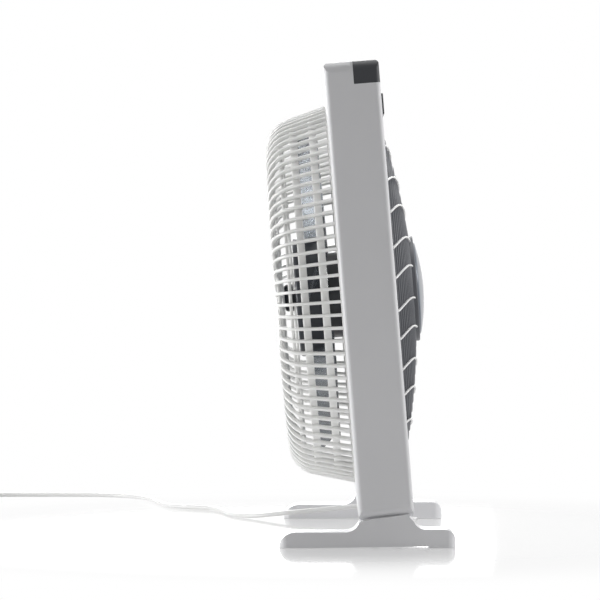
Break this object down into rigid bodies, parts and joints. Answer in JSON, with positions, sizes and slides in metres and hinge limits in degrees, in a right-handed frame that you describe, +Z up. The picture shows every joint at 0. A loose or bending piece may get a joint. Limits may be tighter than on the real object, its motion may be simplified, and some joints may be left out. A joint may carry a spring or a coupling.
{
  "type": "floor fan",
  "caption": "Box fan on two low feet, seen side-on: white square housing leaning back, basket rear guard, dark domed turning front disc with white wavy bars, dark carrying bar and cord",
  "frame": {"origin": "on the floor, under the middle of the fan's box without its cord", "axes": "+Z up, the front of the fan faces -Y, its keys are on the -X side"},
  "size_m": [0.7932, 0.7186, 0.5016],
  "materials": {
    "white_body": "satin",
    "white_bars": "satin",
    "dark_bar": "matte",
    "dark_keys": "matte",
    "grey_disc": "satin",
    "slate_cap": "satin",
    "smoke_blade": "gloss",
    "motor_shell": "satin",
    "dark_shell": "satin",
    "laminations": "satin",
    "copper": "gloss",
    "bronze": "satin",
    "steel": "satin",
    "zinc_screws": "satin",
    "cream_nylon": "matte",
    "capacitor_case": "satin",
    "lead_sheath": "satin",
    "cord_sheath": "satin",
    "pins": "gloss",
    "grey_rubber": "matte"
  },
  "bodies": {
    "body": {"housing": "white_body", "rear_cover": "white_body", "rear_guard": "white_body", "left_foot": "white_body", "right_foot": "white_body", "motor_spider": "white_body", "handle_bar": "dark_bar", "motor_front_shell": "motor_shell", "motor_rear_shell": "dark_shell", "stator_core": "laminations", "windings": "copper", "front_bearing": "bronze", "rear_bearing": "bronze", "grille_motor": "steel", "cover_screws": "zinc_screws", "guard_screws": "zinc_screws", "spider_screws": "zinc_screws", "motor_bolts": "zinc_screws", "motor_screws": "zinc_screws", "grille_motor_screws": "zinc_screws", "switch_screws": "zinc_screws", "bar_screws": "zinc_screws", "foot_screws": "zinc_screws", "key_switch": "cream_nylon", "terminal_block": "cream_nylon", "capacitor": "capacitor_case", "motor_lead": "lead_sheath", "switch_lead": "lead_sheath", "inner_cord": "cord_sheath", "cord_run": "cord_sheath", "cord_coil": "cord_sheath", "cord_tail": "cord_sheath", "strain_relief": "cord_sheath", "plug": "cord_sheath", "plug_pins": "pins", "foot_pads": "grey_rubber"},
    "rotor_group": {"rotor": "laminations", "motor_shaft": "steel", "fan_blade": "smoke_blade", "blade_nut": "smoke_blade"},
    "disc_group": {"grille_shaft": "steel", "grille_disc": "grey_disc", "grille_bars": "white_bars", "grille_nut": "steel", "hub_cap": "slate_cap"},
    "off_key_group": {"off_key": "dark_keys"},
    "low_key_group": {"low_key": "dark_keys"},
    "medium_key_group": {"medium_key": "dark_keys"},
    "high_key_group": {"high_key": "dark_keys"},
    "turn_key_group": {"turn_key": "dark_keys"}
  },
  "joints": [
    {"name": "blade_spin", "type": "hinge", "parent": "body", "child": "rotor_group", "pos_m": [0, -0.01036, 0.26194], "axis": [0, -0.9969, 0.0785], "continuous": true},
    {"name": "disc_spin", "type": "hinge", "parent": "body", "child": "disc_group", "pos_m": [0, -0.01036, 0.26194], "axis": [0, -0.9969, 0.0785], "continuous": true},
    {"name": "off_key_push", "type": "slide", "parent": "body", "child": "off_key_group", "axis": [0, 0.9969, -0.0785], "range_m": [0, 0.0022], "stiffness_N_per_m": 600},
    {"name": "low_key_push", "type": "slide", "parent": "body", "child": "low_key_group", "axis": [0, 0.9969, -0.0785], "range_m": [0, 0.0022], "stiffness_N_per_m": 600},
    {"name": "medium_key_push", "type": "slide", "parent": "body", "child": "medium_key_group", "axis": [0, 0.9969, -0.0785], "range_m": [0, 0.0022], "stiffness_N_per_m": 600},
    {"name": "high_key_push", "type": "slide", "parent": "body", "child": "high_key_group", "axis": [0, 0.9969, -0.0785], "range_m": [0, 0.0022], "stiffness_N_per_m": 600},
    {"name": "turn_key_push", "type": "slide", "parent": "body", "child": "turn_key_group", "axis": [0, 0.9969, -0.0785], "range_m": [0, 0.0022], "stiffness_N_per_m": 600}
  ]
}
